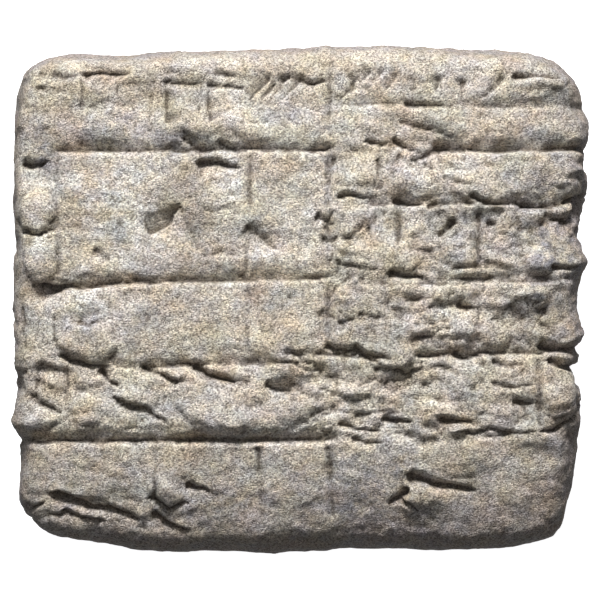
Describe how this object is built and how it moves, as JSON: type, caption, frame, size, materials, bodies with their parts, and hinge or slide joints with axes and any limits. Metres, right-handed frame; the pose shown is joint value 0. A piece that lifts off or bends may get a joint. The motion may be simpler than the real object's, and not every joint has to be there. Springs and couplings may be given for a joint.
{
  "type": "cuneiform tablet",
  "caption": "Small cushion-shaped tablet of dried clay, worn and chipped, with ruled lines and rows of pressed wedge strokes on its face.",
  "frame": {"origin": "middle of the flat spot on the reverse, which the tablet lies on", "axes": "+X along the lines of writing to the right, +Y up the written face, +Z out of the written face"},
  "size_m": [0.0459, 0.0404, 0.0159],
  "materials": {
    "clay": "matte"
  },
  "bodies": {
    "root": {"tablet": "clay"}
  },
  "joints": []
}
